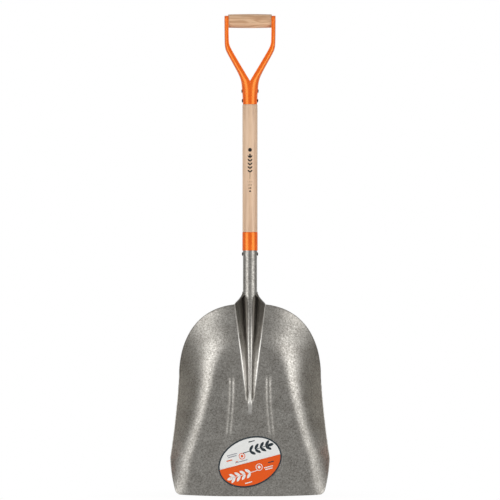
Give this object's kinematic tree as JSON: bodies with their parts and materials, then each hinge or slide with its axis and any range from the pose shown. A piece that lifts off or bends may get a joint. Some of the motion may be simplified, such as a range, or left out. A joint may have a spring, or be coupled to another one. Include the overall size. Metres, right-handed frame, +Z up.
{
  "type": "grain scoop shovel",
  "caption": "Deep pressed-steel grain scoop with a rolled socket, an ash shaft and a D-grip of a pressed-steel yoke and a turned wooden bar.",
  "frame": {"origin": "under the middle of the bounding box, at the height of the cutting edge; x = 0 is the plane of symmetry and the handle's axis is at y = +34.5 mm", "axes": "+Z up the handle from the cutting edge to the grip, -Y the side that the pan opens to, X across the pan and along the grip bar"},
  "size_m": [0.3532, 0.1037, 1.0721],
  "materials": {
    "blade_steel": "bare hot-rolled steel, fine grey speckle, clear lacquer",
    "ash_wood": "turned ash, satin clear lacquer",
    "collar_paint": "orange gloss paint",
    "yoke_paint": "orange gloss paint",
    "rivet_steel": "dark oxidised steel",
    "label_film": "printed gloss film"
  },
  "bodies": {
    "root": {"scoop_blade": "blade_steel", "handle_shaft": "ash_wood", "socket_collar": "collar_paint", "socket_rivet": "rivet_steel", "grip_yoke": "yoke_paint", "yoke_rivet_lower": "rivet_steel", "yoke_rivet_upper": "rivet_steel", "grip_bar": "ash_wood", "grip_rod": "yoke_paint", "blade_label": "label_film"}
  },
  "joints": []
}
